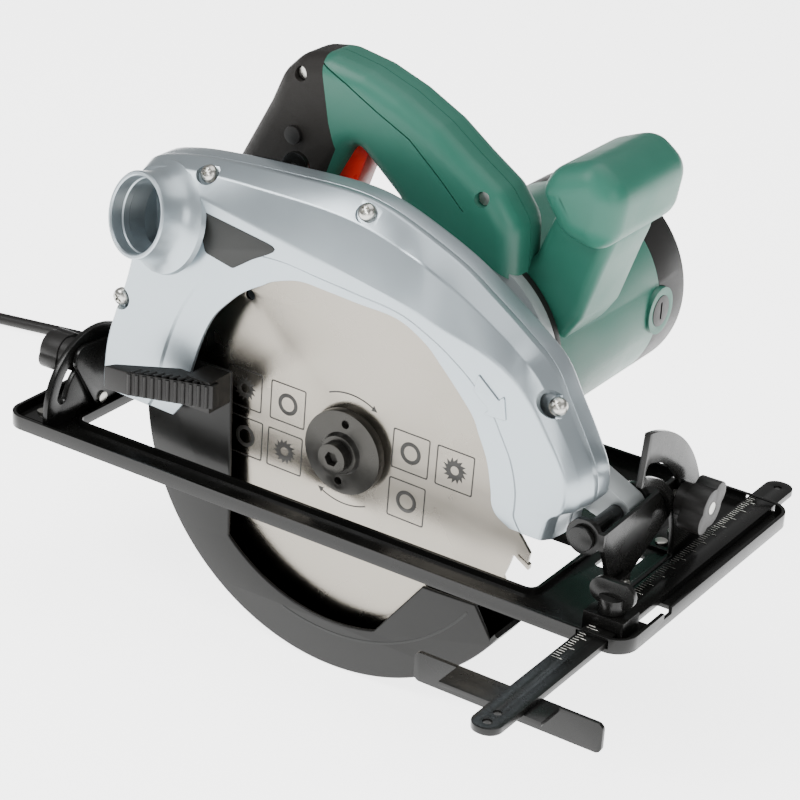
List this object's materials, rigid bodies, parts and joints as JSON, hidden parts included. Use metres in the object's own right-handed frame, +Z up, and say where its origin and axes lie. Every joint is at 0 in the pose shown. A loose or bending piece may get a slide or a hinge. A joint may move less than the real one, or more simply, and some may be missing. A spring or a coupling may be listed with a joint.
{
  "type": "circular saw",
  "caption": "Corded hand-held circular saw with swinging lower guard, tilting and depth-adjusting base, guide rule, dust port and D-shaped rear handle.",
  "frame": {"origin": "on the underside of the sole plate, under the blade spindle and 70 mm to the motor side of the blade", "axes": "+X forward in the cutting direction, +Y from the blade towards the motor, +Z up, square to the sole"},
  "size_m": [0.77, 0.3455, 0.284],
  "materials": {
    "black_steel": "glossy black enamel on pressed steel",
    "bright_steel": "zinc-plated steel",
    "silver_paint": "silver-grey metallic paint on die-cast alloy",
    "cast_alloy": "bead-blasted die-cast aluminium",
    "bearing_steel": "polished bearing steel",
    "bronze": "sintered bronze",
    "black_plastic": "glass-filled black nylon",
    "green_plastic": "fine-textured green nylon",
    "lamination_steel": "stacked electrical steel",
    "copper_wire": "enamelled copper",
    "carbon": "graphite",
    "brass_tube": "drawn brass",
    "soft_rubber": "dark grey soft overmould",
    "cord_rubber": "black rubber cord",
    "blade_steel": "ground saw steel, brushed",
    "oxide_steel": "black oxide on steel",
    "gear_steel": "oiled gear steel",
    "red_plastic": "red nylon"
  },
  "bodies": {
    "base": {"base_plate": "black_steel", "front_quadrant": "black_steel", "rear_quadrant": "black_steel", "base_rivets": "bright_steel", "tilt_pins": "bright_steel"},
    "tilt_frame": {"front_bracket": "black_steel", "rear_bracket": "black_steel", "depth_pin": "black_steel", "tilt_studs": "bright_steel"},
    "saw": {"upper_guard_cover": "silver_paint", "upper_guard_case": "silver_paint", "guard_screws": "bright_steel", "guard_clip": "bright_steel", "spindle_bearing": "bearing_steel", "spindle_bush": "bronze", "gear_housing": "cast_alloy", "bearing_plate": "black_plastic", "motor_housing": "green_plastic", "end_cap": "black_plastic", "case_screws": "bright_steel", "motor_bearings": "bearing_steel", "stator": "lamination_steel", "field_windings": "copper_wire", "brushes": "carbon", "brush_holders": "brass_tube", "brush_caps": "black_plastic", "handle_near_shell": "green_plastic", "handle_far_shell": "green_plastic", "handle_top_strip": "green_plastic", "grip_overmould": "soft_rubber", "switch_body": "black_plastic", "front_grip": "green_plastic", "strain_relief": "cord_rubber", "cord_tube": "cord_rubber", "cord_coil": "cord_rubber", "plug": "cord_rubber"},
    "blade_set": {"blade": "blade_steel", "reducer_ring": "bright_steel", "outer_flange": "oxide_steel", "inner_flange": "oxide_steel", "blade_bolt": "oxide_steel", "spindle": "bright_steel", "spindle_gear": "gear_steel"},
    "idler": {"idler_shaft": "gear_steel", "idler_wheel": "gear_steel"},
    "armature": {"armature_shaft": "gear_steel", "armature_core": "lamination_steel", "armature_windings": "copper_wire", "commutator": "copper_wire", "fan": "black_plastic"},
    "lower_guard_set": {"lower_guard": "black_steel", "guard_lever": "black_plastic"},
    "trigger_body": {"trigger": "red_plastic"},
    "lock_body": {"lock_button": "black_plastic"},
    "front_knob_body": {"front_knob": "black_plastic"},
    "rear_knob_body": {"rear_knob": "black_plastic"},
    "depth_lever_body": {"depth_lever": "black_plastic"},
    "rule": {"guide_rule": "black_steel"},
    "rule_screw_body": {"rule_screw": "black_steel"}
  },
  "joints": [
    {"name": "bevel_tilt", "type": "hinge", "parent": "base", "child": "tilt_frame", "pos_m": [0, -0.066, 0.008], "axis": [1, 0, 0], "range_deg": [0, 45]},
    {"name": "depth_swing", "type": "hinge", "parent": "tilt_frame", "child": "saw", "pos_m": [0.133, -0.07, 0.035], "axis": [0, 1, 0], "range_deg": [0, 22]},
    {"name": "blade_spin", "type": "hinge", "parent": "saw", "child": "blade_set", "pos_m": [0, -0.07, 0.03], "axis": [0, -1, 0], "continuous": true},
    {"name": "idler_spin", "type": "hinge", "parent": "saw", "child": "idler", "pos_m": [0.01432, -0.07, 0.05421], "axis": [0, -1, 0], "continuous": true},
    {"name": "armature_spin", "type": "hinge", "parent": "saw", "child": "armature", "pos_m": [0.02577, -0.07, 0.07357], "axis": [0, -1, 0], "continuous": true},
    {"name": "guard_retract", "type": "hinge", "parent": "saw", "child": "lower_guard_set", "pos_m": [0, -0.07, 0.03], "axis": [0, 1, 0], "range_deg": [0, 128], "stiffness_Nm_per_rad": 0.12, "springref_deg": -34.38},
    {"name": "trigger_pull", "type": "hinge", "parent": "saw", "child": "trigger_body", "pos_m": [-0.039, -0.014, 0.157], "axis": [0, 1, 0], "range_deg": [0, 8], "stiffness_Nm_per_rad": 0.6, "springref_deg": -5.73},
    {"name": "lock_press", "type": "slide", "parent": "saw", "child": "lock_body", "axis": [0, 1, 0], "range_m": [0, 0.0025], "stiffness_N_per_m": 400, "springref_m": -0.002},
    {"name": "front_knob_turn", "type": "hinge", "parent": "tilt_frame", "child": "front_knob_body", "pos_m": [0.15, -0.01832, 0.03335], "axis": [1, 0, 0], "range_deg": [0, 180]},
    {"name": "rear_knob_turn", "type": "hinge", "parent": "tilt_frame", "child": "rear_knob_body", "pos_m": [-0.165, -0.07827, 0.03317], "axis": [-1, 0, 0], "range_deg": [0, 180]},
    {"name": "depth_lever_turn", "type": "hinge", "parent": "saw", "child": "depth_lever_body", "pos_m": [-0.08486, -0.036, 0.06562], "axis": [0, 1, 0], "range_deg": [0, 60]},
    {"name": "rule_slide", "type": "slide", "parent": "base", "child": "rule", "axis": [0, 1, 0], "range_m": [-0.11, 0.045]},
    {"name": "rule_screw_turn", "type": "hinge", "parent": "base", "child": "rule_screw_body", "pos_m": [0.1555, -0.092, 0.015], "axis": [0, 0, 1], "range_deg": [0, 180]}
  ],
  "couplings": [
    {"joint": "idler_spin", "follows": "blade_spin", "ratio": -2},
    {"joint": "armature_spin", "follows": "blade_spin", "ratio": 8}
  ]
}
